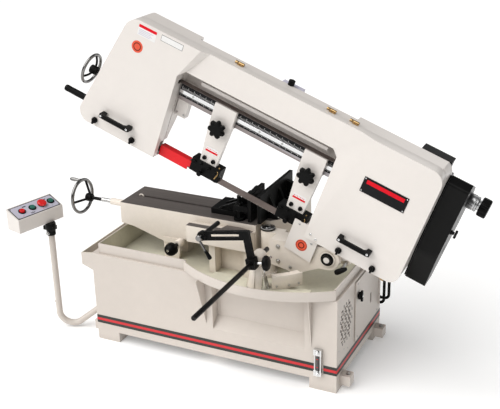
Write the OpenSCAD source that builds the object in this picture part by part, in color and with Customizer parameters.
// Horizontal mitering band saw: cabinet, vise bed, swivel arm and blade bow.
// Millimetres, +Z up, X to the right along the cabinet, -Y is the operator's side.
// Origin: centre of the cabinet's footprint on the floor.

/* [Cabinet] */
// Cabinet length along X
cabinet_length = 1040; // [1036:1:1044]
// Cabinet depth along Y
cabinet_depth = 492; // [490:1:494]
// Height of the cabinet's top edge
cabinet_top = 385; // [384:0.5:386]
// Height of the foot blocks
foot_height = 44; // [30:1:60]
// Sheet thickness of the cabinet
sheet = 4; // [3:0.5:5]
// Floor height of the chip tray
tray_floor = 335; // [333:1:336]
// Height of the tray and pan rim
rim_z = 427; // [422:1:430]
// Radius of the curved front pan
pan_radius = 533; // [530:1:540]

/* [Bow] */
// Bow angle above horizontal at rest
bow_angle = 20.5; // [19:0.5:22]
// Front face of the blade cover in Y
cover_y = -156; // [-158:1:-155]
// Height of the beam top above the pivot
bow_top = 521; // [518:1:524]
// Height of the beam's lower edge above the pivot
beam_bottom = 415; // [405:1:420]
// Wall thickness of the blade cover
cover_wall = 3; // [2.5:0.5:3]

/* [Blade and wheels] */
// Radius of both blade wheels
wheel_radius = 146; // [144:0.5:146]
// Blade width
blade_width = 27; // [25:1:27]
// Blade thickness
blade_thick = 0.9; // [0.8:0.1:1.1]
// Number of wheel spokes
spoke_count = 5; // [4:1:6]

/* [Vise] */
// Height of the vise bed
bed_z = 541; // [540:0.5:541]
// Height of the vise jaws above the bed
jaw_height = 117; // [90:1:120]
// Lead screw radius
screw_radius = 9; // [8:0.5:9]
// Handwheel rim radius
handwheel_radius = 70; // [60:1:75]

/* [Work stop] */
// Stop rod radius
stop_radius = 9; // [8:0.5:9]
// Length of the stop's horizontal bar
stop_length = 187; // [150:1:195]
// Height of the stop's upright
stop_height = 126; // [110:1:130]

/* [Controls] */
// Control post radius
post_radius = 12.5; // [10:0.5:14]
// Control box length
box_length = 211; // [205:1:216]
// Pilot button radius
button_radius = 11; // [9:0.5:11]

/* [Hidden] */
$fn = 64;
fit = 0.06; // clearance of most bores, on the radius

// cabinet faces
cab_left = -cabinet_length/2;
cab_right = cabinet_length/2;
cab_front = -cabinet_depth/2;
cab_back = cabinet_depth/2;
// recess in the cabinet's front
recess_left = 12;
recess_right = 392;
recess_depth = 40;
recess_top = cabinet_top-6;
// chip tray and front pan
tray_left = -492;
tray_right = 510;
tray_half = 236;
pan_z = 389;
pan_sheet = 4;
// side door
door_hinge_y = 209;
door_latch_y = -38;
door_latch_z = 310;
// head pivot and miter axis
pivot_x = 435;
pivot_z = 486;
miter_x = 159;
miter_y = -51;
lever_x = 486;
lever_z = 452;
// lead screw axis and coolant valve
screw_y = 20;
screw_z = 492;
valve_x = -213;
valve_z = 415;
// stop rod axis; bar end in the stop's frame
stop_x = 215;
stop_z = 508;
stop_end_x = -stop_length+6;
stop_end_z = stop_height-18;
// control post and its foot bend
post_x = -719;
post_y = -230;
bend_radius = 55;
bend_z = 74;

// From here on: positions in the bow frame
blade_y = -109;
wheel_z = 212;
idler_x = -920;
drive_x = 110;
tension_y = -78;
rail_bottom = 287;
rail_top = 351;
guide_xs = [-558,-184];
star_z = 272;
cover_back = -104;
latch_xz = [[-1037,64],[-866,64],[29,72],[167,72]];
hinge_xs = [-570,-196,-105];
cover_hinge_y = -102;
cover_hinge_z = bow_top+3;
// gearbox input shaft and motor shaft, with their pulleys
gear_y = 10;
gear_z = 150;
motor_y = 62;
motor_z = 382;
gear_pulley_radius = 62;
motor_pulley_radius = 40;
// belt cover hinge and knob
case_hinge_x = 272;
case_hinge_y = 124;
case_hinge_zs = [262,340];
case_knob_y = -74;
case_knob_z = 305;

// ---------- helpers ----------
module box(x0,x1,y0,y1,z0,z1) {
  translate([x0,y0,z0]) cube([x1-x0,y1-y0,z1-z0]);
}
// cylinders and extrusions along one axis, from the lower to the upper coordinate
module cyl_x(x0,x1,y,z,radius) {
  translate([x0,y,z]) rotate([0,90,0]) cylinder(h=x1-x0,r=radius);
}
module cyl_y(x,z,y0,y1,radius) {
  translate([x,y1,z]) rotate([90,0,0]) cylinder(h=y1-y0,r=radius);
}
module cyl_z(x,y,z0,z1,radius) {
  translate([x,y,z0]) cylinder(h=z1-z0,r=radius);
}
module slab_y(y0,y1) {
  translate([0,y1,0]) rotate([90,0,0]) linear_extrude(y1-y0) children();
}
module slab_x(x0,x1) {
  translate([x0,0,0]) rotate([90,0,90]) linear_extrude(x1-x0) children();
}
module bar(start,end,radius) {
  run = end-start;
  length = norm(run);
  translate(start) rotate([0,acos(run[2]/length),atan2(run[1],run[0])])
    cylinder(h=length,r=radius);
}
// Bow frame: origin on the head pivot, X along the bow
module bow() {
  translate([pivot_x,0,pivot_z]) rotate([0,bow_angle,0]) children();
}
function unit(v) = v/norm(v);
function flat(point) = [point[0],point[1]];
// arc that replaces one corner of a polygon
function round_corner(before,corner,after,radius,steps=7) =
  radius <= 0 ? [flat(corner)] :
  let(at=flat(corner),
      to_before=unit(flat(before)-at),
      to_after=unit(flat(after)-at),
      half=acos(to_before*to_after)/2,
      centre=at+unit(to_before+to_after)*(radius/sin(half)),
      from=at+to_before*(radius/tan(half))-centre,
      to=at+to_after*(radius/tan(half))-centre,
      start=atan2(from[1],from[0]),
      turn=atan2(to[1],to[0])-start,
      sweep=turn>180 ? turn-360 : (turn<-180 ? turn+360 : turn))
  [for (i=[0:steps]) centre+radius*[cos(start+sweep*i/steps),sin(start+sweep*i/steps)]];
// rounded polygon: each point is [x, y, corner radius]
function rounded(points) = let(count=len(points))
  [for (i=[0:count-1])
    each round_corner(points[(i+count-1)%count],points[i],points[(i+1)%count],points[i][2])];

// ---------- base ----------
// recess in the front face, grown outward by grow
module recess(grow) {
  inner_y = cab_front+recess_depth+grow;
  slab_x(recess_left-grow,recess_right+grow)
    polygon([[cab_front-1,160-grow],[cab_front-1,recess_top],[inner_y,recess_top],
      [inner_y,205-grow]]);
}
module cabinet() color([0.87,0.83,0.79]) {
  difference() {
    box(cab_left,cab_right,cab_front,cab_back,foot_height,cabinet_top);
    recess(0);
    difference() {
      box(cab_left+sheet,cab_right-sheet,cab_front+sheet,cab_back-sheet,
        foot_height-1,cabinet_top-sheet);
      recess(sheet);
    }
    // tray opening in the top
    box(tray_left,tray_right,-tray_half,tray_half,cabinet_top-sheet-1,cabinet_top+1);
    // vent slots beside the door
    for (row=[0:8], column=[0:2])
      translate([cab_right-10,-205+column*36,188+row*16]) cube([20,22,6]);
    // opening behind the door
    box(cab_right-10,cab_right+1,-40,185,140,352);
  }
  // foot blocks
  for (y=[cab_front,cab_back-80]) {
    box(cab_left,cab_left+99,y,y+80,0,foot_height);
    box(cab_right-109,cab_right,y,y+80,0,foot_height);
  }
  // cross rail with a centre foot
  box(-30,30,cab_front+sheet-1,cab_back-sheet+1,foot_height,foot_height+14);
  cyl_z(0,0,0,foot_height+1,36);
  // levelling lugs
  for (x=[cab_left-40,cab_right], y=[-190,190]) box(x,x+40,y-20,y+22,18,58);
  // door knuckles
  for (z=[150,292]) {
    cyl_z(cab_right+6,door_hinge_y,z,z+48,5);
    box(cab_right,cab_right+6,door_hinge_y-3,door_hinge_y+3,z,z+48);
  }
}
// three bands round the front and right faces, open behind the level gauge
module stripe() color([0.8,0.08,0.1])
  for (band=[[75,86.9],[86.95,98.05],[98.1,110]]) {
    box(cab_left,431,cab_front-1,cab_front,band[0],band[1]);
    box(468,cab_right+1,cab_front-1,cab_front,band[0],band[1]);
    box(cab_right,cab_right+1,cab_front,cab_back,band[0],band[1]);
  }
// step in the tray over the cabinet's recess
module tray_step(grow) {
  box(recess_left-sheet-grow,recess_right+sheet+grow,
    -250,cab_front+recess_depth+sheet+grow,tray_floor-10,recess_top+grow);
}
module chip_tray() color([0.74,0.72,0.62]) {
  inner_half = tray_half-pan_sheet;
  difference() {
    box(tray_left,tray_right,-tray_half,tray_half,tray_floor-pan_sheet,rim_z);
    difference() {
      box(tray_left+pan_sheet,tray_right-pan_sheet,-inner_half,inner_half,tray_floor,rim_z+1);
      tray_step(pan_sheet);
    }
    tray_step(0.1);
    // front wall opens to the pan
    box(-100,502,-240,-231,pan_z,rim_z+1);
  }
  // drip lip on the left end
  difference() {
    slab_y(cab_front,cab_back) polygon([[cab_left,309],[cab_left-50,327],
      [cab_left-50,378],[cab_left,cabinet_top]]);
    slab_y(cab_front+4,cab_back-4) polygon([[cab_left-0.1,314],[cab_left-46,330],
      [cab_left-46,390],[cab_left-0.1,390]]);
  }
}
module pan_shape(radius,side_inset,overrun) {
  intersection() {
    translate([205,188]) circle(r=radius,$fn=160);
    translate([-140+side_inset,-400]) square([700-2*side_inset,400+cab_front+overrun]);
  }
}
module front_pan() color([0.86,0.83,0.78]) {
  difference() {
    translate([0,0,pan_z]) linear_extrude(rim_z-pan_z) pan_shape(pan_radius,0,0);
    translate([0,0,pan_z+pan_sheet]) linear_extrude(60) pan_shape(pan_radius-pan_sheet,5,1);
  }
  // floor flange
  box(-98,502,cab_front,-tray_half,pan_z,pan_z+pan_sheet);
  // gussets: [x, front y, bottom z]
  for (gusset=[[-20,-313,179],[417,-281,176]])
    slab_x(gusset[0],gusset[0]+4)
      polygon([[cab_front,pan_z],[gusset[1],pan_z],[cab_front,gusset[2]]]);
}
module level_gauge() color([0.75,0.76,0.78]) {
  gauge_x = 449.5;
  for (z=[67,154]) {
    box(434,465,-262,cab_front,z,z+24);
    cyl_y(gauge_x,z+12,-268,-262,9);
  }
  for (x=[436,459]) box(x,x+4,-260,-254,91,154);
  cyl_z(gauge_x,-255,91,154,6);
}
module side_door() color([0.86,0.82,0.78]) {
  difference() {
    box(cab_right+1.2,cab_right+5,-62,204,121,372);
    cyl_x(cab_right,cab_right+6,door_latch_y,door_latch_z,8.1);
    // upright slot with round ends
    translate([cab_right-1,104,212]) cube([8,16,30]);
    for (z=[212,242]) cyl_x(cab_right,cab_right+6,112,z,8);
  }
  // hinge barrel
  cyl_z(cab_right+6,door_hinge_y,198.5,291.5,5);
  box(cab_right+1.2,cab_right+5,203,206,198.5,291.5);
}
module side_latch() color([0.12,0.12,0.12]) {
  cyl_x(cab_right+0.4,cab_right+9,door_latch_y,door_latch_z,8);
  cyl_x(cab_right+9,cab_right+16,door_latch_y,door_latch_z,15);
  box(cab_right+16,cab_right+24,door_latch_y-4,door_latch_y+4,288,332);
}
module bed() color([0.84,0.80,0.76]) {
  difference() {
    // plan outline cut to the side profile
    intersection() {
      translate([0,0,tray_floor]) linear_extrude(bed_z-tray_floor)
        polygon([[-487,-73],[118,-73],[118,-12],[150,-12],[213,52],[213,251],[60,251],
          [60,113],[-487,113]]);
      slab_y(-80,260) polygon([[-487,bed_z],[-487,452],[-430,446],[-292,404],
        [-292,tray_floor],[-226,tray_floor],[-215,428],[-105,428],[-60,400],
        [-60,tray_floor],[213,tray_floor],[213,bed_z]]);
    }
    // the rear stays inside the tray below its rim
    box(50,220,231.9,260,tray_floor-1,rim_z+1);
    // hollow underside
    for (bay=[[-61,-4],[44,101]]) box(-470,48,bay[0],bay[1],tray_floor-1,516);
    box(72,201,60,219,tray_floor-1,516);
    // slot for the jaw's key and the screw channel
    box(-440,80,13,27,480,bed_z+1);
    box(-440,80,4,36,472,512);
    cyl_x(-490,-430,screw_y,screw_z,screw_radius+fit);
  }
  // screw support tube on the left end
  difference() {
    cyl_x(-592,-487,screw_y,screw_z,14);
    cyl_x(-593,-480,screw_y,screw_z,screw_radius+fit);
  }
  // front shelf under the blade line
  box(-148,116,-140,-73,457,515);
  translate([0,0,515]) linear_extrude(10)
    polygon([[-148,-140],[116,-140],[116,-92],[60,-78],[-2,-78],[-9,-112],[-148,-112]]);
  // boss for the coolant valve
  difference() {
    union() {
      cyl_y(valve_x,valve_z,-108,-66,16);
      box(-290,valve_x,-80,-66,404,426);
    }
    cyl_y(valve_x,valve_z,-120,-86,8+fit);
  }
  // legs under the shelf
  for (x=[-60,90]) box(x,x+26,-125,-73,tray_floor,457);
}
module fixed_jaw() color([0.08,0.08,0.09]) {
  bolt_x = 152;
  bolt_ys = [70,165];
  base_z = bed_z+15;
  difference() {
    union() {
      box(117,131,-55,251,bed_z,bed_z+jaw_height-2);
      box(131,172,10,235,bed_z,base_z);
      // ribs
      for (y=[20,110]) slab_y(y,y+14) polygon([[131,base_z],[168,base_z],[131,bed_z+95]]);
      slab_y(186,204) polygon([[131,base_z],[213,base_z],[205,bed_z+73],[131,bed_z+95]]);
      box(172,213,180,210,bed_z,base_z);
    }
    for (y=bolt_ys) cyl_z(bolt_x,y,bed_z-1,bed_z+20,7);
  }
  for (y=bolt_ys) {
    cyl_z(bolt_x,y,bed_z,bed_z+16,6.9);
    translate([bolt_x,y,bed_z+16]) cylinder(h=9,r=12,$fn=6);
  }
}
module miter_column() color([0.1,0.1,0.11]) {
  cyl_z(miter_x,miter_y,tray_floor,350,34);
  cyl_z(miter_x,miter_y,350,390,26);
  cyl_z(miter_x,miter_y,390,533,16);
  // top collar
  difference() {
    cyl_z(miter_x,miter_y,527.5,533,29);
    cyl_z(miter_x,miter_y,527,534,15);
  }
  box(miter_x-14,miter_x+4,miter_y-22,miter_y-16,533,535);
}
module miter_quadrant() color([0.84,0.80,0.74]) {
  translate([miter_x,miter_y,393]) rotate([0,0,-62]) {
    rotate_extrude(angle=28) translate([238,0]) square([5,52]);
    rotate_extrude(angle=28) translate([205,40]) square([36,5]);
  }
  translate([miter_x,miter_y,393]) for (angle=[-61,-36])
    rotate([0,0,angle]) translate([207,-2,0]) cube([34,4,42]);
}
module stop_boss() color([0.88,0.84,0.78]) {
  boss_y = -262;
  difference() {
    union() {
      translate([stop_x,boss_y,393]) cylinder(h=90,r1=40,r2=24);
      cyl_y(stop_x,stop_z,-290,-234,26);
      cyl_z(stop_x,boss_y,476,500,23);
      // crossed ribs
      for (angle=[0,90])
        translate([stop_x,boss_y,393]) rotate([0,0,angle]) rotate([90,0,0])
          translate([0,0,-3]) linear_extrude(6)
            polygon([[-46,0],[46,0],[22,100],[-22,100]]);
    }
    cyl_y(stop_x,stop_z,-300,-220,stop_radius+0.05);
  }
  // clamp screw with a T bar
  cyl_x(stop_x+25,stop_x+46,boss_y,stop_z+6,4);
  cyl_y(stop_x+46,stop_z+6,-278,-246,4);
}
module control_post() color([0.84,0.80,0.75]) {
  heading = 23.3;
  cyl_z(post_x,post_y,bend_z-3,440,post_radius);
  // swept bend at the foot, then a rising tube to the cabinet's side
  translate([post_x,post_y,0]) rotate([0,0,heading]) {
    translate([bend_radius,0,bend_z]) rotate([90,0,0]) rotate([0,0,180])
      rotate_extrude(angle=127,$fn=96)
        translate([bend_radius,0]) circle(r=post_radius+0.3,$fn=48);
    difference() {
      translate([bend_radius,0,bend_z]) rotate([0,-37,0]) translate([-3,0,-bend_radius])
        rotate([0,90,0]) cylinder(h=203,r=post_radius);
      rotate([0,0,-heading])
        box(cab_left-post_x-3,cab_left-post_x+100,-100,300,-20,300);
    }
  }
  // wall flange with bolt heads
  box(cab_left-5,cab_left,-182,-108,92,166);
  for (y=[-172,-118], z=[102,156]) cyl_x(cab_left-10,cab_left-5,y,z,6);
  // stud on the post's left side
  cyl_x(post_x-post_radius-5,post_x-post_radius+2,post_y,116,4);
}
// upright cable loop on the cabinet's right side
module cable_loop(y,reach,z0,z1) {
  bend = 18;
  radius = 6;
  straight_x = cab_right+reach;
  for (z=[z0,z1]) {
    cyl_x(cab_right,straight_x,y,z,radius);
    cyl_x(cab_right,cab_right+5,y,z,6.9);
  }
  cyl_z(straight_x+bend,y,z0+bend,z1-bend,radius);
  // each end: [bend centre z, start angle]
  for (end=[[z0+bend,-90],[z1-bend,0]])
    translate([straight_x,y,end[0]]) rotate([90,0,0]) rotate([0,0,end[1]])
      rotate_extrude(angle=90) translate([bend,0]) circle(r=radius,$fn=32);
}
module cables() color([0.07,0.07,0.08]) {
  cable_loop(222,6,150,366);
  cable_loop(236,22,166,352);
}
module coolant_valve() color([0.08,0.08,0.08]) {
  cyl_y(valve_x,valve_z,-152,-142,26);
  translate([valve_x,-152,valve_z]) intersection() {
    sphere(r=26);
    box(-30,30,-30,0,-30,30);
  }
  cyl_y(valve_x,valve_z,-142,-88,8);
}

// ---------- work stop ----------
module stop_rod() color([0.09,0.09,0.1]) {
  cyl_y(stop_x,stop_z,-735,-178,stop_radius);
  cyl_y(stop_x,stop_z,-738,-735,7);
}
// stop frame: origin on the rod axis, tilted about it
module stop_frame() {
  translate([stop_x,0,stop_z]) rotate([0,-10.4,0]) children();
}
module stop_arm() color([0.07,0.07,0.07]) stop_frame() difference() {
  union() {
    box(-17,17,-322,-292,-20,20);
    box(-14,14,-312,-302,19,stop_height);
    slab_y(-312,-302) polygon(rounded([[-stop_length-12,stop_height-36,17],
      [14,stop_height-36,0],[14,stop_height,8],[-stop_length-12,stop_height,17]]));
    cyl_y(stop_end_x,stop_end_z,-318,-296,17);
  }
  cyl_y(0,0,-330,-280,stop_radius+0.05);
  box(-stop_length+40,-28,-320,-290,stop_height-24,stop_height-12);
  cyl_y(stop_end_x,stop_end_z,-330,-280,9+fit);
  cyl_x(12,20,-307,0,5.05);
}
module stop_knob() color([0.07,0.07,0.07]) stop_frame() {
  cyl_x(13,50,-307,0,5);
  cyl_x(50,64,-307,0,28);
  cyl_x(64,68,-307,0,18);
}
module stop_pin() color([0.1,0.1,0.1]) stop_frame() cyl_y(stop_end_x,stop_end_z,-325,-185,9);
module stop_lever() color([0.7,0.71,0.72]) stop_frame() {
  elbow = [stop_end_x+16,-333,stop_height-66];
  cyl_y(stop_end_x,stop_end_z,-340,-326,12);
  bar([stop_end_x,-333,stop_height-26],elbow,4.5);
  bar(elbow,[stop_end_x+30,-333,stop_height-100],8);
}

// ---------- swivel arm ----------
module swivel_arm() color([0.80,0.75,0.68]) {
  difference() {
    union() {
      cyl_z(miter_x,miter_y,391,526,27);
      intersection() {
        slab_y(-130,-52) polygon(rounded([[200,526,10],[200,424,6],[245,416,10],
          [308,402,50],[400,441,30],[pivot_x,441,0],[pivot_x,531,0],[380,528,0]]));
        translate([0,0,390]) linear_extrude(160)
          polygon([[200,-130],[500,-130],[500,-52],[200,-52]]);
      }
      cyl_y(pivot_x,pivot_z,-130,-52,45);
      // lever lug
      cyl_y(lever_x,lever_z,-68,-52,14);
      box(455,lever_x,-68,-52,444,462);
      cyl_y(pivot_x,pivot_z,-135,-130,30);
      // neck joining the hub to the arm
      box(miter_x+8,230,-77,-30,420,526);
    }
    cyl_z(miter_x,miter_y,380,540,16+fit);
    // slot for the bow's hinge lug
    box(384,500,-103,-69,430,540);
    cyl_y(pivot_x,pivot_z,-140,-40,12);
    cyl_y(lever_x,lever_z,-70,-56,6+fit);
  }
}
module pivot_pin() color([0.12,0.12,0.12]) {
  cyl_y(pivot_x,pivot_z,-142,-46,12);
  difference() {
    cyl_y(pivot_x,pivot_z,-144,-135,19);
    cyl_y(pivot_x,pivot_z,-150,-130,12);
  }
}
module swivel_lever() color([0.08,0.08,0.08]) {
  cyl_y(lever_x,lever_z,-144,-58,6);
  translate([488,-144,453]) rotate([0,60,0]) translate([0,0,-20]) cylinder(h=52,r1=11,r2=7);
}

// ---------- bow ----------
// housing outlines in XZ, drawn in by inset
function left_housing(inset) = rounded([
  [-1125.5+inset*1.25,40+inset,max(1,46-inset)],
  [-764-inset,40+inset,max(0.5,8-inset)],
  [-764-inset,bow_top-inset,0],
  [-1003.5+inset*0.8,bow_top-inset,max(1,62-inset)]]);
function right_housing(inset) = rounded([
  [-109+inset,52+inset,max(0.5,6-inset)],
  [266-inset,52+inset,max(1,40-inset)],
  [266-inset,bow_top-inset,max(1,48-inset)],
  [-109+inset,bow_top-inset,0]]);
// side profile that bounds the left housing's sloping back
module back_profile(inset) {
  slab_x(-1200,0) polygon([[-400,0],[-80-inset,0],[-80-inset,110],[-22-inset,250],
    [-22-inset,700],[-400,700]]);
}
module bow_frame() color([0.93,0.91,0.88]) bow() {
  difference() {
    union() {
      intersection() {
        slab_y(-100,-22) polygon(left_housing(0));
        back_profile(0);
      }
      slab_y(-100,-22) polygon(right_housing(0));
      // beam: back wall and top wall
      box(-766,-107,-62,-52,276,bow_top-5);
      box(-766,-107,-100,-52,bow_top-15,bow_top-5);
    }
    intersection() {
      slab_y(-101,-27) polygon(left_housing(4));
      back_profile(5);
      box(-1300,0,-101,-20,0,bow_top-9);
    }
    intersection() {
      slab_y(-101,-27) polygon(right_housing(4));
      box(-200,400,-101,-20,0,bow_top-9);
    }
    // blade passages in the throat walls
    box(-774,-759,-101,-76,36,100);
    box(-770,-759,-101,-92,350,366);
    box(-114,-100,-101,-92,40,92);
    box(-114,-100,-101,-92,350,366);
    box(-110,38,-101,-92,50,58);
    // tension screw and drive shaft holes
    cyl_x(-1110,-1060,tension_y,wheel_z,10);
    cyl_y(drive_x,wheel_z,-30,-20,30);
    // keep the tops of both housings below the cover's rim
    box(-1200,400,-101,0,bow_top-5,bow_top+10);
  }
  // tension slideway
  difference() {
    intersection() {
      box(-1000,-846,-62,-20,160,264);
      back_profile(0);
    }
    box(-1010,-840,-55,-27.1,172,252);
  }
  for (z=[162,250]) box(-1000,-846,-88,-62,z,z+12);
  // rail end mounts
  box(-760,-715,-92,-62,215,rail_top);
  box(-136,-109,-92,-62,rail_bottom,rail_top);
  // lip over the return run
  box(-690,-160,-95,-92,373,386);
  box(-690,-160,-92,-62,383,386);
  // hinge lug on the head pivot
  difference() {
    union() {
      cyl_y(0,0,-101,-71,32);
      slab_y(-101,-71) polygon([[-32,0],[30,-10],[80,30],[80,53],[-20,53]]);
    }
    cyl_y(0,0,-110,-60,12+fit);
  }
  // guard plate bracket
  box(-121,-109,-138,-92,82,93);
  box(-121,-109,-100,-84,82,93);
  // motor plate behind the right housing
  box(70,250,-22,-6,305,460);
  // limit bracket behind the beam
  difference() {
    box(-425,-330,-52,-47,430,508);
    box(-432,-405,-60,-40,495,520);
  }
  cyl_z(-382,-49.5,508,514,8);
  cyl_z(-382,-49.5,514,534,12);
}
module guide_rail() color([0.6,0.57,0.54]) bow() {
  box(-759,-109,-104,-92,rail_bottom,rail_top);
  box(-758,-109,-108,-104,314.5,328.5);
}
module rail_scales() color([0.08,0.08,0.08]) bow()
  for (z=[[329,350.5],[302,314]]) box(-758,-110,-105,-104,z[0],z[1]);
// twisted strip between a vertical and a horizontal blade section, in short flat leaves
module twist(from_x,from_z,to_x,to_z,leaves=8) {
  leaf_length = abs(to_x-from_x)/leaves;
  for (i=[0:leaves-1])
    let(along=(i+0.5)/leaves, ease=along*along*(3-2*along))
      translate([from_x+(to_x-from_x)*along,blade_y,from_z+(to_z-from_z)*ease])
        rotate([90*(1-ease),0,0])
          cube([leaf_length+1.3-i*0.05,blade_width-0.2,blade_thick],center=true);
}
module blade() color([0.5,0.46,0.44]) bow() {
  cut_z = 60;
  half_thick = blade_thick/2;
  half_width = blade_width/2;
  inner = wheel_radius+0.05;
  outer = inner+blade_thick;
  // cutting run
  box(-760,-113,blade_y-half_thick,blade_y+half_thick,cut_z-half_width,cut_z+half_width);
  twist(-760,cut_z,idler_x+24,wheel_z-inner-half_thick);
  twist(-113,cut_z,drive_x-24,wheel_z-inner-half_thick);
  for (x=[idler_x,drive_x-26])
    box(x,x+26,blade_y-half_width,blade_y+half_width,wheel_z-outer,wheel_z-inner);
  // return run
  box(idler_x,drive_x,blade_y-half_width,blade_y+half_width,wheel_z+inner,wheel_z+outer);
  // wraps round the wheels: [wheel x, start angle]
  for (wrap=[[idler_x,90],[drive_x,-90]])
    translate([wrap[0],blade_y-half_width,wheel_z]) rotate([-90,0,0]) rotate([0,0,wrap[1]])
      rotate_extrude(angle=180,$fn=128)
        translate([inner,0]) square([blade_thick,blade_width]);
}
module guard_plate() color([0.88,0.85,0.82]) bow()
  slab_y(-141,-138) polygon(rounded([[-167,-36,3],[-54,-44,3],[-54,44,3],[-112,44,2],
    [-112,94,3],[-167,94,3]]));
module blade_cover() color([0.94,0.92,0.90]) bow() {
  beam_y = -141;
  difference() {
    union() {
      slab_y(cover_y,cover_back) polygon(left_housing(0));
      slab_y(cover_y,cover_back) polygon(right_housing(0));
      slab_y(beam_y,cover_back) polygon([[-780,beam_bottom],[-748,beam_bottom],
        [-130,beam_bottom],[-90,beam_bottom],[-90,bow_top],[-780,bow_top]]);
      // shoulders between the housings and the beam
      slab_y(cover_y,cover_back) polygon([[-765,beam_bottom-26],[-742,beam_bottom+3],
        [-742,beam_bottom+20],[-690,bow_top],[-765,bow_top]]);
      slab_y(cover_y,cover_back) polygon([[-110,beam_bottom-26],[-135,beam_bottom+3],
        [-112,beam_bottom+20],[-72,bow_top],[-60,bow_top],[-60,beam_bottom-26]]);
    }
    slab_y(cover_y+cover_wall,-100) polygon(left_housing(cover_wall));
    slab_y(cover_y+cover_wall,-100) polygon(right_housing(cover_wall));
    slab_y(beam_y+cover_wall,-100) polygon([[-790,beam_bottom+3],[-80,beam_bottom+3],
      [-80,bow_top-3],[-790,bow_top-3]]);
    // blade passages
    box(-770,-755,-130,-100,36,100);
    box(-770,-755,-126,-100,350,366);
    box(-114,-100,-126,-100,40,92);
    box(-114,-100,-126,-100,350,366);
    box(-110,40,-126,-100,50,58);
    for (at=latch_xz) cyl_y(at[0],at[1],-160,-140,5+fit);
    // room for the hinge knuckles
    for (x=hinge_xs) cyl_x(x-18.6,x-5.4,cover_hinge_y,cover_hinge_z,6.3);
  }
  // latch bushes carried by the front sheet
  for (at=latch_xz) difference() {
    cyl_y(at[0],at[1],-153.5,-146,9);
    cyl_y(at[0],at[1],-160,-140,5+fit);
  }
  // hinge knuckles
  for (x=hinge_xs) difference() {
    union() {
      cyl_x(x-5,x+18,cover_hinge_y,cover_hinge_z,6);
      box(x-5,x+18,-112,-104,bow_top-1,bow_top+5);
    }
    cyl_x(x-6,x+19,cover_hinge_y,cover_hinge_z,3.5+fit);
  }
}
// handles: [left x, right x, z]
module cover_handles() color([0.1,0.1,0.1]) bow()
  for (grip=[[-1010,-877,110],[12,142,130]]) {
    box(grip[0],grip[1],-190,-180,grip[2]-8,grip[2]+8);
    for (x=[grip[0],grip[1]-16]) box(x,x+16,-180,cover_y,grip[2]-7,grip[2]+7);
  }
module cover_hinges() color([0.72,0.52,0.25]) bow() for (x=hinge_xs) {
  cyl_x(x-18,x+18,cover_hinge_y,cover_hinge_z,3.5);
  cyl_x(x-18,x-6,cover_hinge_y,cover_hinge_z,6);
  box(x-18,x-6,-99,-82,bow_top-5,bow_top-2);
  box(x-18,x-6,-99,-96,bow_top-5,bow_top+3);
}
module latch(index) bow() {
  x = latch_xz[index][0];
  z = latch_xz[index][1];
  cyl_y(x,z,-167,-156.3,12);
  cyl_y(x,z,-158,-140,5);
  box(x-4,x+4,-175,-167,z-12,z+16);
}
module latch_a() color([0.07,0.07,0.07]) latch(0);
module latch_b() color([0.07,0.07,0.07]) latch(1);
module latch_c() color([0.07,0.07,0.07]) latch(2);
module latch_d() color([0.07,0.07,0.07]) latch(3);
module wheel(x,bore) {
  difference() {
    union() {
      difference() {
        cyl_y(x,wheel_z,-123.5,-94.5,wheel_radius);
        cyl_y(x,wheel_z,-130,-90,wheel_radius-16);
      }
      cyl_y(x,wheel_z,-126,-94.5,34);
      for (i=[0:spoke_count-1])
        translate([x,0,wheel_z]) rotate([0,i*360/spoke_count,0])
          box(28,wheel_radius-12,-115,-103,-13,13);
    }
    cyl_y(x,wheel_z,-140,-80,bore);
  }
}
module idler_wheel() color([0.55,0.56,0.57]) bow() wheel(idler_x,15.05);
module drive_wheel() color([0.55,0.56,0.57]) bow() {
  wheel(drive_x,17);
  cyl_y(drive_x,wheel_z,-130,20,17);
}
module tension_slide() color([0.35,0.36,0.37]) bow() {
  difference() {
    box(-965,-875,-88,-62.1,174.1,249.9);
    cyl_x(-970,-905,tension_y,wheel_z,8+fit);
  }
  cyl_y(idler_x,wheel_z,-127,-88,15);
  cyl_y(idler_x,wheel_z,-131,-127,20);
}
module tension_wheel() color([0.1,0.1,0.1]) bow() {
  rim = 57;
  cyl_x(-1118,-930,tension_y,wheel_z,8);
  cyl_x(-1138,-1112,tension_y,wheel_z,15);
  translate([-1148,tension_y,wheel_z]) rotate([0,90,0])
    rotate_extrude() translate([rim,0]) circle(r=6,$fn=24);
  for (angle=[20,140,260])
    bar([-1128,tension_y,wheel_z],
      [-1148,tension_y+rim*sin(angle),wheel_z+rim*cos(angle)],5.5);
}
module lift_grip() color([0.09,0.09,0.09]) bow() {
  cyl_x(-1128,-1113.5,-90,92,8);
  cyl_x(-1232,-1128,-90,92,13);
}
module gearbox() color([0.55,0.57,0.58]) bow() {
  difference() {
    union() {
      box(40,200,-22,44,104,290);
      cyl_x(200,264,gear_y,gear_z,28);
      cyl_y(drive_x,wheel_z,44,54,52);
    }
    cyl_y(drive_x,wheel_z,-30,40,17+fit);
    cyl_x(150,300,gear_y,gear_z,12+fit);
  }
  // pulley back plate
  difference() {
    slab_x(266,271) polygon([[-84,468],[-50,486],[84,424],[114,392],[114,250],[56,38],
      [-28,38],[-84,186]]);
    cyl_x(260,280,gear_y,gear_z,30);
    cyl_x(260,280,motor_y,motor_z,24);
  }
  // hinge pins and knuckles of the belt cover
  for (z=case_hinge_zs) {
    box(266,270,110,125,z,z+20);
    cyl_z(case_hinge_x,case_hinge_y,z,z+20,4.5);
    cyl_z(case_hinge_x,case_hinge_y,z,z+40,2);
  }
}
module motor() color([0.3,0.32,0.34]) bow() {
  difference() {
    union() {
      cyl_x(70,262,motor_y,motor_z,68);
      box(70,250,-6,20,340,424);
      box(125,245,35,90,440,492);
      cyl_x(60,70,motor_y,motor_z,60);
    }
    cyl_x(240,270,motor_y,motor_z,10+fit);
  }
}
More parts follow.
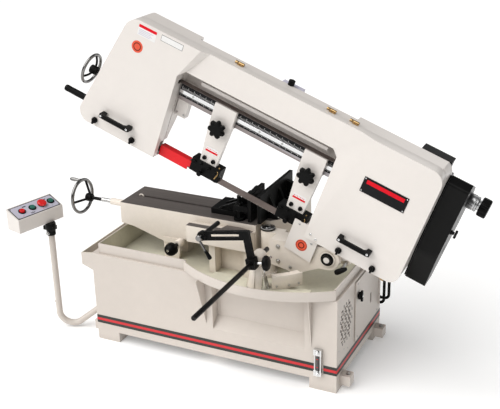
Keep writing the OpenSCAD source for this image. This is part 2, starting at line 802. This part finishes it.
module gear_pulley() color([0.5,0.5,0.5]) bow() {
  cyl_x(160,330,gear_y,gear_z,12);
  cyl_x(290,326,gear_y,gear_z,gear_pulley_radius);
}
module motor_pulley() color([0.5,0.5,0.5]) bow() {
  cyl_x(241,330,motor_y,motor_z,10);
  cyl_x(290,326,motor_y,motor_z,motor_pulley_radius);
}
// two pulley circles joined by their outer tangents, in YZ
module belt_outline(grow) {
  rise = [motor_y-gear_y,motor_z-gear_z];
  spread = 90-asin((gear_pulley_radius-motor_pulley_radius)/norm(rise));
  // [y, z, radius]
  gear = [gear_y,gear_z,gear_pulley_radius+0.1+grow];
  motor = [motor_y,motor_z,motor_pulley_radius+0.1+grow];
  for (end=[gear,motor]) translate([end[0],end[1]]) circle(r=end[2],$fn=96);
  polygon([for (tangent=[[gear,1],[motor,1],[motor,-1],[gear,-1]])
    let(end=tangent[0], angle=atan2(rise[1],rise[0])+tangent[1]*spread)
      flat(end)+end[2]*[cos(angle),sin(angle)]]);
}
module drive_belt() color([0.06,0.06,0.06]) bow()
  slab_x(298,318) difference() {
    belt_outline(6);
    belt_outline(0);
  }
// belt cover outline in YZ, drawn in by inset
function belt_case(inset) = rounded([
  [-88+inset,474-inset*0.8,14-inset], [-50,491-inset*1.1,10-inset],
  [86-inset*0.3,428-inset,30-inset], [118-inset,396-inset*0.5,30-inset],
  [118-inset,250,40-inset], [60-inset*0.8,32+inset,20-inset],
  [-30+inset*0.7,32+inset,12-inset], [-88+inset,190,90]]);
module pulley_cover() color([0.06,0.06,0.06]) bow() difference() {
  union() {
    slab_x(272,352) polygon(belt_case(0));
    for (z=case_hinge_zs) {
      cyl_z(case_hinge_x,case_hinge_y,z+21,z+41,4.5);
      box(273,277,117,124,z+21,z+41);
    }
  }
  slab_x(271,349) polygon(belt_case(3));
  cyl_x(340,360,motor_y,motor_z,14.1);
  cyl_x(340,360,case_knob_y,case_knob_z,5.1);
  for (z=case_hinge_zs) cyl_z(case_hinge_x,case_hinge_y,z+20,z+42,2.05);
}
module pulley_knob() color([0.08,0.08,0.08]) bow() {
  cyl_x(345,366,case_knob_y,case_knob_z,5);
  box(366,376,-80,-68,289,321);
}
// stacked discs on the motor axis: [start x, end x, radius]
module speed_knob() color([0.72,0.73,0.74]) bow()
  for (disc=[[342,353,14],[352.4,388,29],[388,396,20],[396,430,36]])
    cyl_x(disc[0],disc[1],motor_y,motor_z,disc[2]);
module guide(x) {
  difference() {
    union() {
      slab_y(-128,-109) polygon([[x-34,115],[x+34,115],[x+45,283],[x+45,356],
        [x-45,356],[x-45,283]]);
      slab_y(-109,-104.6) polygon([[x-34,115],[x+34,115],[x+44,280],[x-44,280]]);
      // hooks round the rail
      box(x-45,x+45,-109,-84,351.5,356);
      box(x-45,x+45,-91.4,-84,281,356);
      box(x-45,x+45,-109,-84,281,286.6);
    }
    cyl_y(x,star_z,-140,-106,7+fit);
  }
  // guide block with rollers' housing
  difference() {
    box(x-62,x+60,-135,-88,60,115);
    box(x-70,x+70,-111,-107,40,92);
    box(x-30,x+30,-125,-95,50,88);
  }
  for (offset_x=[-46,44], y=[-118.1,-99.9]) cyl_z(x+offset_x,y,52,60,7);
}
module guide_left() color([0.9,0.87,0.84]) bow() guide(guide_xs[0]);
module guide_right() color([0.9,0.87,0.84]) bow() guide(guide_xs[1]);
module star(x) {
  cyl_y(x,star_z,-162,-142,28);
  for (i=[0:6])
    translate([x,0,star_z]) rotate([0,i*360/7,0]) cyl_y(28,0,-161,-143,8.5);
  cyl_y(x,star_z,-142.5,-128.4,14);
  cyl_y(x,star_z,-129,-112,7);
}
module star_left() color([0.07,0.07,0.07]) bow() star(guide_xs[0]);
module star_right() color([0.07,0.07,0.07]) bow() star(guide_xs[1]);
module blade_guard() color([0.85,0.07,0.09]) bow() {
  difference() {
    box(-761,-634,-123,-95,44,86);
    box(-770,-620,-120,-98,40,83);
  }
  box(-634,-620,-123,-120,60,86);
}

// ---------- vise ----------
module vise_jaw() color([0.08,0.08,0.09]) {
  base_z = bed_z+0.1;
  rib_top = bed_z+jaw_height-6;
  difference() {
    union() {
      box(76,90,-55,73,base_z,base_z+jaw_height);
      box(-96,76,-28,95,base_z,bed_z+22);
      for (y=[-14,40]) slab_y(y,y+14) polygon([[76,bed_z+22],[-70,bed_z+22],
        [20,bed_z+62],[62,rib_top],[76,rib_top]]);
      box(16,76,-58,-26,bed_z+40,bed_z+62);
      // key and nut in the bed's slot
      box(-30,50,13.6,26.4,508,bed_z+1);
      box(-30,50,5,35,476,509);
    }
    cyl_x(-40,60,screw_y,screw_z,screw_radius+fit);
  }
  // clamp screw at the jaw's front
  cyl_z(34,-42,base_z,bed_z+12,22);
  cyl_z(34,-42,bed_z+12,bed_z+98,8);
  cyl_z(34,-42,bed_z+62,bed_z+70,14);
}
module lead_screw() color([0.12,0.12,0.12]) {
  cyl_x(-640,77,screw_y,screw_z,screw_radius);
  cyl_x(-700,-640,screw_y,screw_z,7);
  cyl_x(-716,-688,screw_y,screw_z,17);
  // handwheel rim, spokes and crank grip
  translate([-738,screw_y,screw_z]) rotate([0,90,0])
    rotate_extrude() translate([handwheel_radius,0]) circle(r=7,$fn=32);
  for (angle=[8,128,248])
    bar([-702,screw_y,screw_z],[-738,screw_y+handwheel_radius*sin(angle),
      screw_z+handwheel_radius*cos(angle)],6.5);
  cyl_x(-792,-744,screw_y,screw_z+handwheel_radius,8);
}

// ---------- control box ----------
// X runs along the box
module box_frame() {
  translate([-766,-256,0]) rotate([0,0,74.8]) children();
}
// on the sloping panel, Z square to it
module on_panel(x) {
  translate([x,0,545]) rotate([22.07,0,0]) children();
}
button_xs = [-60,-11,33,77];
module control_box() color([0.68,0.66,0.72]) {
  difference() {
    box_frame() translate([-box_length/2,0,0])
      slab_x(0,box_length) polygon([[-37,475],[-37,530],[37,560],[37,475]]);
    box_frame() for (x=button_xs)
      on_panel(x) translate([0,0,-13]) cylinder(h=30,r=button_radius+0.15);
  }
  // mount and socket on the post
  cyl_z(post_x,post_y,446,475,20);
  box(post_x-26,post_x+20,post_y-14,post_y+14,446,462);
  difference() {
    cyl_z(post_x,post_y,424,446,18);
    cyl_z(post_x,post_y,420,441,post_radius+fit);
  }
}
// button: a stem with a cap on top
module button(index,stem,cap,cap_radius) box_frame() on_panel(button_xs[index]) {
  translate([0,0,-7]) cylinder(h=stem,r=button_radius);
  translate([0,0,stem-7]) cylinder(h=cap,r=cap_radius);
}
module pilot(index) button(index,12,4,button_radius-2);
module button_red() color([0.8,0.1,0.1]) pilot(0);
module button_start() color([0.1,0.6,0.25]) pilot(1);
module button_stop() color([0.85,0.08,0.08]) button(2,13,9,19);
module button_feed() color([0.1,0.6,0.25]) pilot(3);

cabinet();
stripe();
chip_tray();
front_pan();
level_gauge();
side_door();
side_latch();
bed();
fixed_jaw();
miter_column();
miter_quadrant();
stop_boss();
control_post();
cables();
coolant_valve();
stop_rod();
stop_arm();
stop_knob();
stop_pin();
stop_lever();
swivel_arm();
pivot_pin();
swivel_lever();
bow_frame();
guide_rail();
rail_scales();
blade();
guard_plate();
blade_cover();
cover_handles();
cover_hinges();
latch_a();
latch_b();
latch_c();
latch_d();
idler_wheel();
drive_wheel();
tension_slide();
tension_wheel();
lift_grip();
gearbox();
motor();
gear_pulley();
motor_pulley();
drive_belt();
pulley_cover();
pulley_knob();
speed_knob();
guide_left();
guide_right();
star_left();
star_right();
blade_guard();
vise_jaw();
lead_screw();
control_box();
button_red();
button_start();
button_stop();
button_feed();
